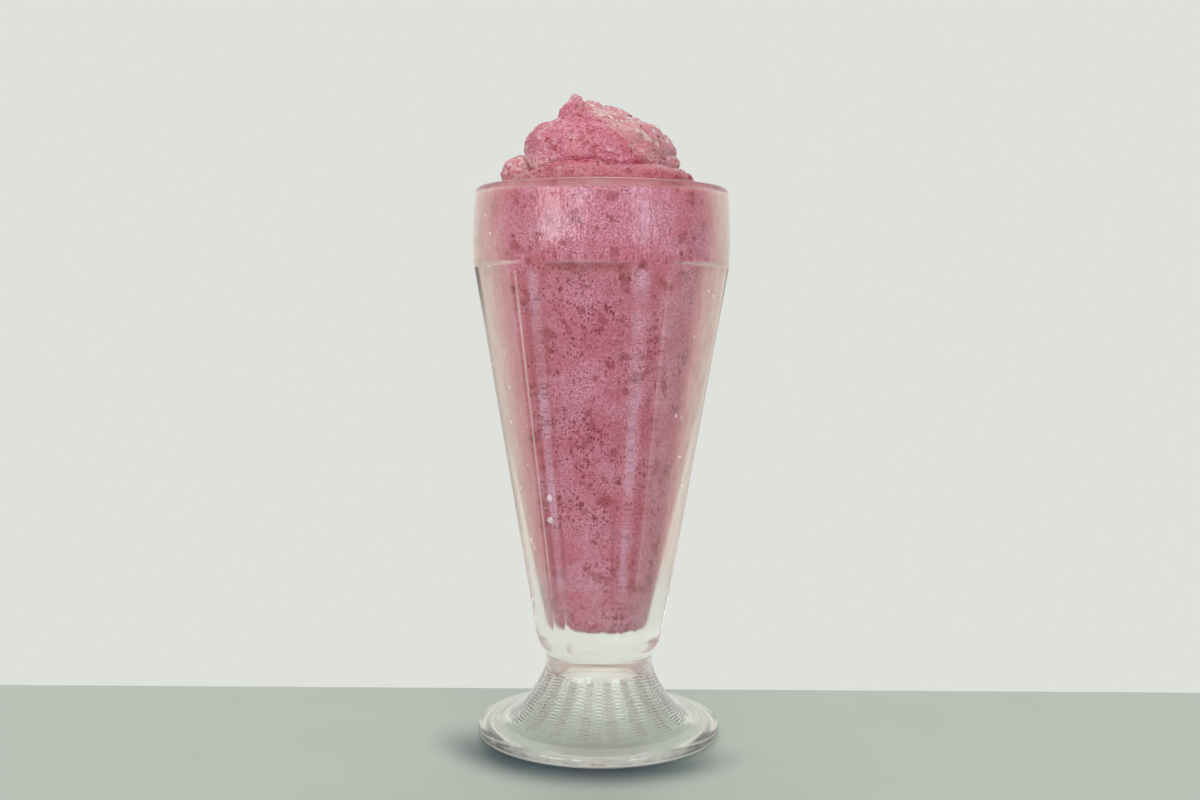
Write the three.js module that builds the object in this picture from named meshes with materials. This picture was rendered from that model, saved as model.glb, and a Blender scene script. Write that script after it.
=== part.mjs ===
// A strawberry smoothie in a footed soda glass, filled to the brim and heaped above the rim.
// Millimetres, +Z up, the glass stands on Z = 0 and its axis is the Z axis.
// Angles are turned about Z from the side that faces the viewer (-Y), to the right (+X).

import * as THREE from "three";
import { mergeVertices } from "three/addons/utils/BufferGeometryUtils.js";

const DEGREE = Math.PI / 180;

// The six pressed panels: 84 steps make each panel 11 steps wide and each rib 3.
const STEPS = 84;
const PANELS = 6;
const PANEL_HALF = (11 / 2) * (360 / STEPS) * DEGREE;
const PANEL_TURN = -6.25 * DEGREE;
const PANEL_FLATNESS = 0.85;

// The glass.
const RIM_HEIGHT = 186.2;
const BAND_RADIUS = 43.45;
const LEDGE_HEIGHT = 160.9;
const NECK_RADIUS = 18.1;
const NECK_HEIGHT = 27.1;
const FOOT_RADIUS = 41.6;
const RING_OUTER = 39.6;
const RING_INNER = 35.5;
const HOLLOW_HEIGHT = 28.6;
const CAVITY_FLOOR = 37.6;
const CAVITY_LOW_RADIUS = 10.3;
const CAVITY_SHOULDER_RADIUS = 37.4;
const MOUTH_RADIUS = 39.8;

// The smoothie: it stands clear of the glass, meets the wall a little under the rim,
// and the heap is sought along rays from a point inside it.
const CLEARANCE = 0.3;
const WALL_MEETS = 183.4;
const HEAP_MIDDLE = 177;
const HEAP_ROWS = 22;
const HEAP_STEPS = 72;
const HEAP_REACH = 60;
const BLEND = 2.4;

// Each scoop of the heap is a rounded lump: its middle, its three half widths,
// and how boxy it is (2 is an ellipsoid, more is squarer, less is more pointed).
const SCOOPS = [
  { name: "lower layer", middle: [-0.5, 1, 186.6], half: [32, 32.5, 7.6], boxy: 2.2 },
  { name: "left lobe", middle: [-24.2, 2, 190.2], half: [9.6, 14, 7.2], boxy: 2.2 },
  { name: "right lobe", middle: [20, 2, 188], half: [9.6, 14, 6], boxy: 2.2 },
  { name: "front roll", middle: [-6, -19, 187.6], half: [15, 12, 5.2], boxy: 2.2 },
  { name: "front roll, right", middle: [14, -17, 187.2], half: [13, 12, 4.8], boxy: 2.2 },
  { name: "main scoop", middle: [-2, 2, 194.8], half: [23.6, 23.5, 13.4], boxy: 3.6 },
  { name: "left slope", middle: [-7, 3, 200], half: [18, 16, 11.2], boxy: 2 },
  { name: "crown", middle: [0, 4, 202.5], half: [15, 14, 11.6], boxy: 2 },
  { name: "right slope", middle: [9, 3, 198], half: [16, 16, 9], boxy: 2 },
  { name: "right shoulder", middle: [13, 3, 193.6], half: [13, 15, 7.4], boxy: 2.2 },
  { name: "top step", middle: [9, 4, 206], half: [5.2, 6, 5.2], boxy: 2.4 },
  { name: "peak", middle: [-9.6, 3, 210.6], half: [5.4, 5.5, 8], boxy: 1.5 },
  { name: "tail of the peak", middle: [-5, 3, 210], half: [9, 5.4, 6], boxy: 1.6 },
  { name: "back roll", middle: [4, 15, 193], half: [18, 14, 11], boxy: 2 },
  { name: "back step", middle: [-10, 16, 198], half: [12, 9, 7], boxy: 2.2 },
];

// Points of a closed outline, as radius, height and the share of the panel cut that acts there.
// It runs from the roof of the hollow foot out to the ring it stands on, up the outside,
// over the lip and down the inside to the middle of the cavity's floor.
function glassOutline() {
  const rows = [];
  const row = (radius, height, cut = 0) => rows.push({ radius, height, cut });

  // The hollow reaches up into the neck and follows the trumpet of the foot above it.
  row(0, HOLLOW_HEIGHT);
  row(5.5, HOLLOW_HEIGHT - 0.3);
  row(8.6, HOLLOW_HEIGHT - 1.4);
  row(11.4, 24.6);
  row(14.0, 21.2);
  row(16.3, 17.6);
  row(18.6, 14.2);
  row(21.5, 10.4);
  row(25.0, 6.6);
  row(29.0, 3.4);
  row(33.0, 1.0);
  row(RING_INNER, 0);

  row(RING_OUTER, 0);
  row(FOOT_RADIUS - 0.5, 0.8);
  row(FOOT_RADIUS, 2.4);
  row(FOOT_RADIUS - 0.5, 3.8);
  row(FOOT_RADIUS - 2.1, 4.6);
  row(36.0, 5.2);
  row(31.5, 6.3);
  row(27.4, 8.6);
  row(24.4, 11.9);
  row(21.9, 15.8);
  row(19.9, 19.6);
  row(NECK_RADIUS + 0.6, 22.8);
  row(NECK_RADIUS, NECK_HEIGHT);

  row(NECK_RADIUS + 0.7, 28.5);
  row(20.7, 31.0, 0.3);
  row(21.7, 34.0, 0.8);
  const coneSteps = 4;
  for (let i = 0; i <= coneSteps; i += 1) {
    const t = i / coneSteps;
    row(THREE.MathUtils.lerp(22.2, 43.1, t), THREE.MathUtils.lerp(37.6, LEDGE_HEIGHT - 1.1, t), 1);
  }

  row(43.2, LEDGE_HEIGHT);
  row(BAND_RADIUS, 168.0);
  row(43.2, 177.0);
  row(42.7, RIM_HEIGHT - 2.2);
  row(42.2, RIM_HEIGHT - 0.6);
  row(41.2, RIM_HEIGHT);
  row(MOUTH_RADIUS + 0.4, RIM_HEIGHT - 0.6);

  for (const [radius, height] of cavityOutline(0)) row(radius, height);
  return rows;
}

// The inside of the glass from the mouth down, drawn in by a clearance.
function cavityOutline(inset) {
  return [
    [MOUTH_RADIUS - inset, RIM_HEIGHT - 2.0],
    [38.7 - inset, 172.0],
    [CAVITY_SHOULDER_RADIUS - inset, LEDGE_HEIGHT],
    [THREE.MathUtils.lerp(CAVITY_SHOULDER_RADIUS, CAVITY_LOW_RADIUS, 0.5) - inset, 101.0],
    [CAVITY_LOW_RADIUS - inset, CAVITY_FLOOR + 3.5],
    [CAVITY_LOW_RADIUS - 1.0 - inset, CAVITY_FLOOR + 1.3 + inset],
    [CAVITY_LOW_RADIUS - 3.2 - inset, CAVITY_FLOOR + 0.3 + inset],
    [0, CAVITY_FLOOR + inset],
  ];
}

// The radius of the cavity at a height, by straight lines between its corners.
function cavityRadius(height) {
  const corners = cavityOutline(0);
  for (let i = 0; i < corners.length - 1; i += 1) {
    const [r0, z0] = corners[i];
    const [r1, z1] = corners[i + 1];
    if (height <= z0 && height >= z1) return r0 + ((r1 - r0) * (z0 - height)) / (z0 - z1);
  }
  return MOUTH_RADIUS;
}

// How much of the radius a flat panel takes off at an angle: nothing on the ribs.
function panelCut(angle) {
  const period = (2 * Math.PI) / PANELS;
  const fromEdge = THREE.MathUtils.euclideanModulo(angle - PANEL_TURN + period / 2, period);
  const fromMiddle = fromEdge - period / 2;
  return PANEL_FLATNESS * Math.max(0, 1 - Math.cos(PANEL_HALF) / Math.cos(fromMiddle));
}

// Turns an outline about Z and then moves every point by its row and angle.
function turned(rows, steps, startAngle, move) {
  const outline = rows.map(({ radius, height }) => new THREE.Vector2(radius, height));
  const geometry = new THREE.LatheGeometry(outline, steps, startAngle);
  const position = geometry.attributes.position;
  for (let i = 0; i <= steps; i += 1) {
    const angle = startAngle + (2 * Math.PI * (i % steps)) / steps;
    rows.forEach((row, j) => {
      const [radius, height] = move(row, angle);
      const index = i * rows.length + j;
      position.setXYZ(index, radius * Math.sin(angle), -radius * Math.cos(angle), height);
    });
  }
  return closed(geometry);
}

// Joins the seam and the points on the axis, and drops the triangles that shrink to a line there.
function closed(geometry) {
  geometry.deleteAttribute("normal");
  geometry.deleteAttribute("uv");
  const joined = mergeVertices(geometry, 1e-4);
  const index = joined.index.array;
  const kept = [];
  for (let i = 0; i < index.length; i += 3) {
    const [a, b, c] = [index[i], index[i + 1], index[i + 2]];
    if (a !== b && b !== c && c !== a) kept.push(a, b, c);
  }
  joined.setIndex(kept);
  joined.computeVertexNormals();
  return joined;
}

// About how far a point is from the skin of a scoop, less than nothing inside it.
function toScoop(point, { middle, half, boxy }) {
  const p = point.map((value, i) => Math.abs(value - middle[i]) / half[i]);
  const near = Math.max(Math.pow(p.reduce((sum, value) => sum + Math.pow(value, boxy), 0), 1 / boxy), 1e-9);
  const slope = p.map((value, i) => Math.pow(value / near, boxy - 1) / half[i]);
  return (near - 1) / Math.hypot(...slope);
}

// The lesser of two distances, rounded off where they are alike.
function softLesser(a, b) {
  const share = Math.max(BLEND - Math.abs(a - b), 0) / BLEND;
  return Math.min(a, b) - share * share * BLEND * 0.25;
}

// How far a point is from the heap: the level drink below, and the scoops on it.
function toHeap(point) {
  let distance = point[2] - WALL_MEETS;
  for (const scoop of SCOOPS) distance = softLesser(distance, toScoop(point, scoop));
  return distance;
}

// Where a ray from the middle of the heap comes out of it.
function heapSkin(angle, rise) {
  const at = (reach) => [
    reach * Math.cos(rise) * Math.sin(angle),
    -reach * Math.cos(rise) * Math.cos(angle),
    HEAP_MIDDLE + reach * Math.sin(rise),
  ];
  let outside = HEAP_REACH;
  while (outside > 1 && toHeap(at(outside)) > 0) outside -= 0.4;
  let inside = outside;
  outside += 0.4;
  for (let i = 0; i < 24; i += 1) {
    const between = (inside + outside) / 2;
    if (toHeap(at(between)) > 0) outside = between;
    else inside = between;
  }
  return [inside * Math.cos(rise), HEAP_MIDDLE + inside * Math.sin(rise)];
}

function makeGlass() {
  const start = PANEL_TURN + PANEL_HALF;
  return turned(glassOutline(), STEPS, start, (row, angle) => {
    return [row.radius * (1 - row.cut * panelCut(angle)), row.height];
  });
}

// The drink fills the cavity and ends in the heap.
function makeSmoothie() {
  const rim = cavityRadius(WALL_MEETS) - CLEARANCE;
  const rows = cavityOutline(CLEARANCE)
    .filter(([, height]) => height < WALL_MEETS)
    .reverse()
    .map(([radius, height]) => ({ radius, height }));
  rows.push({ radius: rim, height: WALL_MEETS });
  const lowest = Math.atan2(WALL_MEETS - HEAP_MIDDLE, rim);
  for (let i = 1; i <= HEAP_ROWS; i += 1) {
    const rise = THREE.MathUtils.lerp(lowest, Math.PI / 2, i / HEAP_ROWS);
    rows.push({ radius: rim * Math.cos(rise), height: HEAP_MIDDLE, rise });
  }
  return turned(rows, HEAP_STEPS, 0, (row, angle) => {
    if (row.rise === undefined) return [row.radius, row.height];
    const [radius, height] = heapSkin(angle, row.rise);
    return row.rise > Math.PI / 2 - 1e-6 ? [0, height] : [radius, height];
  });
}

const glassLook = new THREE.MeshStandardMaterial({ color: 0xdadccd, roughness: 0.08, metalness: 0 });
const smoothieLook = new THREE.MeshStandardMaterial({ color: 0xc0788a, roughness: 0.6, metalness: 0 });

const drink = new THREE.Group();

const glass = new THREE.Mesh(makeGlass(), glassLook);
glass.name = "glass";
drink.add(glass);

const smoothie = new THREE.Mesh(makeSmoothie(), smoothieLook);
smoothie.name = "smoothie";
drink.add(smoothie);

export default drink;
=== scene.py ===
# %% [markdown]
# # A strawberry smoothie in a soda glass
# This lesson dresses a plain solid model of a filled soda glass. The solids give the sizes and the
# place of everything. Here the glass gets its pressed panels and the grooved hollow of its foot, and
# the drink gets its foam, its bits of fruit and its heap. Lengths below are in millimetres, as a
# glassmaker would write them, and become metres when a mesh is made.

# %% Load the solid model
import math

import bpy
import numpy as np
from mathutils import Matrix, Vector, noise


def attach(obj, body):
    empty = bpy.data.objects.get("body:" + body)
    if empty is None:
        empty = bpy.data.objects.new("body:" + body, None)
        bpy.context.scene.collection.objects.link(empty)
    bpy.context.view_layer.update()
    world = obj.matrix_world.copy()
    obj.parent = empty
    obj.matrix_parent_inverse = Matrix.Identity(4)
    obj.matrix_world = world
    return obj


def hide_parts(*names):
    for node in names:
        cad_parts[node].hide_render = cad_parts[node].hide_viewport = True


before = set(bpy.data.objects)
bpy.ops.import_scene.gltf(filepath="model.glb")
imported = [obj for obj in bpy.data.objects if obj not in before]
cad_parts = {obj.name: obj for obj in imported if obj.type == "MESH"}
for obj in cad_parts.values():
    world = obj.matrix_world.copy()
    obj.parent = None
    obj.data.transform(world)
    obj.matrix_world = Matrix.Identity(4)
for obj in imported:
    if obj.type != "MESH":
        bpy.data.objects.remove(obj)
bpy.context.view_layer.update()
MM = 0.001

# %% [markdown]
# ## Turning a shape on its axis
# A pressed glass is round about one axis, so its mesh can be a grid: rows that follow the outline and
# columns that go round. A Screw modifier would turn an outline too, but a grid of our own lets every
# point be moved afterwards, which is what the flat panels and the lumpy drink need.

# %% Grid helpers


def curve_through(points, steps):
    """A smooth line through a few points of an outline."""
    p = np.array(points, float)
    p = np.vstack([2 * p[0] - p[1], p, 2 * p[-1] - p[-2]])
    t = np.linspace(0, 1, steps, endpoint=False)[:, None]
    pieces = []
    for a, b, c, d in zip(p[:-3], p[1:-2], p[2:-1], p[3:]):
        pieces.append(b + 0.5 * t * (c - a + t * (2 * a - 5 * b + 4 * c - d + t * (3 * b - a - 3 * c + d))))
    pieces.append(p[-2][None])
    return np.vstack(pieces)


def straight(start, end, steps):
    return np.linspace(np.array(start, float), np.array(end, float), steps + 1)


def ease(x):
    """Rises from 0 to 1 with a soft start and end."""
    x = np.clip(x, 0, 1)
    return x * x * (3 - 2 * x)


def around(radius, angle, height):
    """Points from a radius and an angle about Z; angle 0 faces the viewer, more goes to the right."""
    return np.stack(np.broadcast_arrays(radius * np.sin(angle), -radius * np.cos(angle), height), -1)


def turned_object(name, rows, first, last):
    """An object from rows of points that go round the axis, closed by a point at either end."""
    count, steps = rows.shape[:2]
    index = np.arange(count * steps).reshape(count, steps)
    low = index[:-1]
    high = index[1:]
    quads = np.stack([low, np.roll(low, -1, 1), np.roll(high, -1, 1), high], -1).reshape(-1, 4)
    start = np.full(steps, count * steps)
    end = start + 1
    fan_in = np.stack([start, np.roll(index[0], -1), index[0]], -1)
    fan_out = np.stack([index[-1], np.roll(index[-1], -1), end], -1)
    points = np.vstack([rows.reshape(-1, 3), first, last]) * MM
    mesh = bpy.data.meshes.new(name)
    mesh.from_pydata(points.tolist(), [], quads.tolist() + fan_in.tolist() + fan_out.tolist())
    mesh.shade_smooth()
    made = bpy.data.objects.new(name, mesh)
    bpy.context.scene.collection.objects.link(made)
    print(name, "has", len(mesh.vertices), "points and", len(mesh.polygons), "faces")
    return made


def paint_rows(made, name, values, first_row, rows):
    """Writes a value at each point of some rows of a turned object, and 0 at all others."""
    steps = values.shape[1]
    whole = np.zeros((rows, steps))
    whole[first_row:first_row + len(values)] = values
    flat = np.concatenate([whole.reshape(-1), [0, 0]])
    attribute = made.data.color_attributes.new(name, "FLOAT_COLOR", "POINT")
    attribute.data.foreach_set("color", np.stack([flat, flat, flat, np.ones_like(flat)], -1).reshape(-1))


def grain(points, size, seed):
    """Smooth noise from -1 to 1 at each point, with lumps of about the given size."""
    shift = Vector((seed * 17.3, seed * 5.1, seed * 9.7))
    flat = points.reshape(-1, 3) / size
    values = [noise.noise(Vector(p) + shift) for p in flat.tolist()]
    return np.array(values).reshape(points.shape[:-1])


print("grid helpers ready")

# %% [markdown]
# ## The outline of the glass
# The glass stands on a ring. Inside the ring the foot is hollow, outside it flares up like a trumpet
# to a narrow neck. Above the neck a straight cone carries six flat panels with ribs between them, and
# a plain round band finishes the top. The inside is a steeper cone, so the glass is thick below and
# thin at the rim. These are the same sizes as in the solid model, only with more points.

# %% Sizes of the glass
PANELS = 6
PERIOD = 2 * math.pi / PANELS
PANEL_HALF = math.radians(23.57)
PANEL_TURN = math.radians(-6.25)
PANEL_FLATNESS = 0.85
CORNER = math.radians(1.2)
PANEL_COLUMNS, CORNER_COLUMNS, RIB_COLUMNS = 29, 5, 6
RIM_HEIGHT = 186.2
LEDGE_HEIGHT = 160.9
LEDGE_STEP = 1.1
FOOT_RADIUS = 41.6
RING_INNER = 35.5
HOLLOW_HEIGHT = 28.6
CAVITY_FLOOR = 37.6
CAVITY_LOW_RADIUS = 10.3
CAVITY_SHOULDER_RADIUS = 37.4
MOUTH_RADIUS = 39.8


def columns_round():
    """Angles of the grid's columns: close together at each panel corner, wider apart elsewhere."""
    panel = np.linspace(CORNER - PANEL_HALF, PANEL_HALF - CORNER, PANEL_COLUMNS, endpoint=False)
    corner = np.linspace(PANEL_HALF - CORNER, PANEL_HALF + CORNER, CORNER_COLUMNS, endpoint=False)
    rib = np.linspace(PANEL_HALF + CORNER, PERIOD - PANEL_HALF - CORNER, RIB_COLUMNS, endpoint=False)
    other_corner = np.linspace(-CORNER, CORNER, CORNER_COLUMNS, endpoint=False) + PERIOD - PANEL_HALF
    one = np.concatenate([panel, corner, rib, other_corner])
    return np.concatenate([one + PANEL_TURN + turn * PERIOD for turn in range(PANELS)])


ANGLES = columns_round()
HOLLOW = curve_through(
    [(0.0, HOLLOW_HEIGHT), (5.5, HOLLOW_HEIGHT - 0.3), (8.6, HOLLOW_HEIGHT - 1.4), (11.4, 24.6),
     (14.0, 21.2), (16.3, 17.6), (18.6, 14.2), (21.5, 10.4), (25.0, 6.6), (29.0, 3.4), (33.0, 1.0),
     (RING_INNER, 0.0)], 40)
FOOT = curve_through(
    [(39.6, 0), (41.1, 0.8), (FOOT_RADIUS, 2.4), (41.1, 3.8), (39.5, 4.6), (36.0, 5.2), (31.5, 6.3),
     (27.4, 8.6), (24.4, 11.9), (21.9, 15.8), (19.9, 19.6), (18.7, 22.8), (18.1, 27.1)], 4)
BOWL_BOTTOM = curve_through([(18.1, 27.1), (18.8, 28.5), (20.7, 31.0), (21.7, 34.0), (22.2, 37.6)], 4)
CONE = straight((22.2, 37.6), (43.1, LEDGE_HEIGHT - LEDGE_STEP), 30)
LEDGE = straight((43.1, LEDGE_HEIGHT - LEDGE_STEP), (43.2, LEDGE_HEIGHT), 5)
BAND = curve_through([(43.2, LEDGE_HEIGHT), (43.45, 168.0), (43.2, 177.0), (42.7, RIM_HEIGHT - 2.2)], 6)
LIP = curve_through(
    [(42.7, RIM_HEIGHT - 2.2), (42.2, RIM_HEIGHT - 0.6), (41.2, RIM_HEIGHT), (40.2, RIM_HEIGHT - 0.6),
     (MOUTH_RADIUS, RIM_HEIGHT - 2.0)], 4)
MOUTH = curve_through(
    [(MOUTH_RADIUS, RIM_HEIGHT - 2.0), (38.7, 172.0), (CAVITY_SHOULDER_RADIUS, LEDGE_HEIGHT)], 6)
INSIDE = straight((CAVITY_SHOULDER_RADIUS, LEDGE_HEIGHT), (CAVITY_LOW_RADIUS, CAVITY_FLOOR + 3.5), 30)
CAVITY_END = curve_through(
    [(CAVITY_LOW_RADIUS, CAVITY_FLOOR + 3.5), (CAVITY_LOW_RADIUS - 1.0, CAVITY_FLOOR + 1.3),
     (CAVITY_LOW_RADIUS - 3.2, CAVITY_FLOOR + 0.3), (0.8, CAVITY_FLOOR)], 4)
OUTSIDE = np.vstack([FOOT, BOWL_BOTTOM[1:], CONE[1:], LEDGE[1:], BAND[1:]])
CAVITY = np.vstack([MOUTH[1:], INSIDE[1:], CAVITY_END[1:]])
print("glass outline", len(OUTSIDE), "rows outside", len(CAVITY), "rows inside")

# %% [markdown]
# ## Flat panels and a grooved foot
# Each panel is a flat cut across the round cone. Its depth is the gap between a chord and its arc, and
# it fades out in the rounding above the neck. A Boolean with six blocks would cut them too, but would
# leave long thin faces that shade badly. The corners are nearly sharp, so the grid has more columns
# there. Under the foot there are fine ring grooves in narrow columns, every second column shallower
# and half a step behind. They are real grooves, because they are what makes the foot sparkle.

# %% Panels
SOFT_CORNER = 0.003
PANELS_START, PANELS_FADE = 28.5, 6.5
WAVE_DEPTH, WAVE_SIZE = 0.07, 14


def panel_cut(angles):
    """The share of the radius that the flat panels take away, with softly rounded corners."""
    from_middle = (angles - PANEL_TURN + PERIOD / 2) % PERIOD - PERIOD / 2
    depth = 1 - math.cos(PANEL_HALF) / np.cos(from_middle)
    return PANEL_FLATNESS * 0.5 * (depth + np.sqrt(depth**2 + SOFT_CORNER**2))


def cut_share(height):
    """How much of the panels' depth there is at a height, from 0 to 1."""
    return ease((height - PANELS_START) / PANELS_FADE) * ease((LEDGE_HEIGHT - height) / LEDGE_STEP)


def glass_wall(rows):
    """Points of the outer wall, with its panels and the slight waves of pressed glass."""
    radius = rows[:, 0][:, None] * (1 - cut_share(rows[:, 1])[:, None] * panel_cut(ANGLES)[None])
    points = around(radius, ANGLES[None], rows[:, 1][:, None])
    wave = WAVE_DEPTH * grain(points, WAVE_SIZE, 1) * ease((rows[:, 1][:, None] - 8) / 10)
    return around(radius + wave, ANGLES[None], rows[:, 1][:, None])


print("panels take", round(float(panel_cut(ANGLES).max()), 3), "of the radius at most")

# %% Grooves in the hollow of the foot
COLUMNS = 36
GROOVE_PITCH = 1.25
GROOVE_DEPTH = 0.38
ROWS_PER_GROOVE = 6
GROOVES_FROM, GROOVES_TO = 14.0, 30.0


def hollow_wall():
    """Points of the foot's hollow from the middle outward, and how deep each is in a groove."""
    along = np.concatenate([[0], np.cumsum(np.hypot(*np.diff(HOLLOW, axis=0).T))])
    start, end = np.interp([GROOVES_FROM, GROOVES_TO], HOLLOW[:, 0], along)
    grooved = np.linspace(start, end, int((end - start) / GROOVE_PITCH) * ROWS_PER_GROOVE + 1)
    stops = np.concatenate([np.linspace(0.6, start, 16)[:-1], grooved, np.linspace(end, along[-1], 8)[1:]])
    radius = np.interp(stops, along, HOLLOW[:, 0])
    height = np.interp(stops, along, HOLLOW[:, 1])
    fall = -np.gradient(height, stops)
    fade = ease((stops - start) / GROOVE_PITCH) * ease((end - stops) / GROOVE_PITCH)
    behind = ease(2.5 * np.cos(ANGLES * COLUMNS / 2) + 0.5)
    turns = (stops[:, None] - start) / GROOVE_PITCH + 0.5 * behind[None]
    ridge = 0.5 - 0.5 * np.cos(2 * math.pi * turns)
    groove = ridge * fade[:, None] * (1 - 0.5 * behind[None])
    wide = radius[:, None] + groove * GROOVE_DEPTH * fall[:, None]
    high = height[:, None] + groove * GROOVE_DEPTH * np.sqrt(np.maximum(0, 1 - fall**2))[:, None]
    return around(wide, ANGLES[None], high), groove


print("grooves", GROOVE_DEPTH, "mm deep in", COLUMNS, "columns")

# %% Make the glass
hollow_rows, groove = hollow_wall()
glass_rows = np.concatenate([
    hollow_rows,
    glass_wall(OUTSIDE),
    around(LIP[1:, :1], ANGLES[None], LIP[1:, 1:]),
    around(CAVITY[:, :1], ANGLES[None], CAVITY[:, 1:]),
])
glass = turned_object("soda_glass", glass_rows, (0, 0, HOLLOW_HEIGHT), (0, 0, CAVITY_FLOOR))
paint_rows(glass, "groove", groove, 0, len(glass_rows))
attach(glass, "root")
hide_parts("glass")

# %% [markdown]
# ## Shader maths that reads like arithmetic
# A material is a web of nodes, and long chains of Math nodes are hard to read in code. This small
# class wraps one socket. Adding or multiplying two of them makes the Math node, so a mask can be
# written as an expression. Colours are mixed by Mix nodes, because a Math node would turn them grey.

# %% The Wire class


class Wire:
    """One output socket of a material's nodes."""

    def __init__(self, tree, socket=None):
        self.tree = tree
        self.socket = socket

    def node(self, kind, settings=None, sockets=None, out=0):
        made = self.tree.nodes.new(kind)
        for name, value in (settings or {}).items():
            setattr(made, name, value)
        for name, value in (sockets or {}).items():
            if isinstance(value, Wire):
                self.tree.links.new(value.socket, made.inputs[name])
            else:
                made.inputs[name].default_value = value
        return Wire(self.tree, made.outputs[out])

    def maths(self, operation, first, second):
        return self.node("ShaderNodeMath", {"operation": operation}, {0: first, 1: second})

    def __add__(self, other):
        return self.maths("ADD", self, other)

    def __radd__(self, other):
        return self.maths("ADD", other, self)

    def __sub__(self, other):
        return self.maths("SUBTRACT", self, other)

    def __rsub__(self, other):
        return self.maths("SUBTRACT", other, self)

    def __mul__(self, other):
        return self.maths("MULTIPLY", self, other)

    def __rmul__(self, other):
        return self.maths("MULTIPLY", other, self)

    def __abs__(self):
        return self.maths("ABSOLUTE", self, 0)

    def between(self, low, high):
        """0 below low, 1 above high, and a soft step in between."""
        return self.node("ShaderNodeMapRange", {"interpolation_type": "SMOOTHSTEP"},
                         {"Value": self, "From Min": low, "From Max": high})

    def mix(self, first, second):
        """Goes from the first colour to the second as this value goes from 0 to 1."""
        return self.node("ShaderNodeMix", {"data_type": "RGBA"}, {0: self, 6: first, 7: second}, 2)

    def part(self, axis):
        return self.node("ShaderNodeSeparateXYZ", {}, {0: self}, axis)

    def scaled(self, factors):
        return self.node("ShaderNodeVectorMath", {"operation": "MULTIPLY"}, {0: self, 1: factors})

    def toward(self, direction):
        """How far a place lies in a direction."""
        sockets = {0: self, 1: direction}
        return self.node("ShaderNodeVectorMath", {"operation": "DOT_PRODUCT"}, sockets, "Value")

    def from_axis(self):
        """How far a place is from the axis of the glass."""
        flat = self.scaled((1, 1, 0))
        return flat.node("ShaderNodeVectorMath", {"operation": "LENGTH"}, {0: flat}, "Value")

    def painted(self, name):
        """The value that paint_rows wrote on the piece."""
        return self.node("ShaderNodeVertexColor", {"layer_name": name}, {}, "Color").part(0)


def colour(red, green, blue):
    """A colour as picked from a screen, turned into the linear light that shaders use."""
    linear = [((v / 255 + 0.055) / 1.055) ** 2.4 if v > 10 else v / 255 / 12.92 for v in (red, green, blue)]
    return (*linear, 1)


def new_material(name):
    """A material with its shader, and a Wire that carries places on the piece in millimetres."""
    material = bpy.data.materials.new(name)
    material.use_nodes = True
    tree = material.node_tree
    shader = tree.nodes["Principled BSDF"]
    place = Wire(tree).node("ShaderNodeTexCoord", {}, {}, "Object").scaled((1000, 1000, 1000))
    return material, shader, place


def feed(shader, name, wire):
    wire.tree.links.new(wire.socket, shader.inputs[name])


def speckle(place, size, seed=0.0, detail=2.0, roughness=0.5):
    """Cloudy noise from 0 to 1 whose clouds are about the given size."""
    return place.node("ShaderNodeTexNoise", {"noise_dimensions": "4D"}, {
        "Vector": place, "W": seed, "Scale": 1 / size, "Detail": detail, "Roughness": roughness})


print("shader helpers ready")

# %% [markdown]
# ## Glass with a breath of dew
# The drink is ice cold, so the bowl is fogged. Fog roughens the glass in soft patches, and it scatters
# a pale veil that grows towards the edges, where one looks along the wall. Roughness from noise gives
# the first. The Sheen of the Principled shader, which is meant for fuzz and dust, gives the second. The
# front panel has stayed nearly clear, as if it had been wiped. The angle round the glass is folded at
# half a turn, so the back is finished like the front.

# %% Glass of the bowl
# Angles in these masks are in radians and heights in millimetres.
GLASS = {"Base Color": (0.975, 0.985, 0.945, 1), "IOR": 1.5, "Transmission Weight": 1.0}
DEW_SHEEN = {"Sheen Weight": 0.6, "Sheen Roughness": 0.45, "Sheen Tint": (1, 0.95, 0.84, 1)}
PANELS_BEGIN, PANELS_END = (44, 60), (156, 160)
BAND_BEGINS = (160, 161)
WIPED_ABOVE = (60, 100)
WIPED_LEFT, WIPED_RIGHT = (-0.75, -0.4), (0.2, 0.7)
SMOOTH_SIDES = (1.1, 1.35)
DULL_BELOW = (45, 90)


def set_sockets(shader, values):
    for name, value in values.items():
        shader.inputs[name].default_value = value


bowl_look, bowl_shader, place = new_material("dewy_glass")
height = place.part(2)
bearing = height.maths("ARCTAN2", place.part(0), -1 * place.part(1)) + math.pi / 2
side = bearing.maths("FLOORED_MODULO", bearing, math.pi) - math.pi / 2
off_front = abs(side)
on_panels = height.between(*PANELS_BEGIN) * (1 - height.between(*PANELS_END))
on_band = height.between(*BAND_BEGINS)
patches = speckle(place, 12, 1.0, 3.0).between(0.3, 0.7)
wiped = side.between(*WIPED_LEFT) * (1 - side.between(*WIPED_RIGHT)) * height.between(*WIPED_ABOVE)
fog = 1 - wiped * (0.96 - 0.35 * patches * side.between(-0.1, 0.2)) * (1 - 0.25 * on_band)
dull = fog * (0.09 + 0.12 * patches) * (1 - 0.85 * off_front.between(*SMOOTH_SIDES))
feed(bowl_shader, "Roughness", 0.012 + dull + 0.05 * (1 - height.between(*DULL_BELOW)))
beads = speckle(place, 0.7, 2.0, 2.0, 0.7)
wrinkles = speckle(place.scaled((1, 1, 0.4)), 1.4, 18.0, 2.0)
waves = beads * (0.1 + 0.9 * fog) + 4.5 * wrinkles * on_band
dimples = place.node("ShaderNodeBump", {}, {"Strength": 0.14, "Distance": 0.0004, "Height": waves})
feed(bowl_shader, "Normal", dimples)
set_sockets(bowl_shader, GLASS)
set_sockets(bowl_shader, DEW_SHEEN)
print("dewy glass has", len(bowl_look.node_tree.nodes), "nodes")

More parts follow.
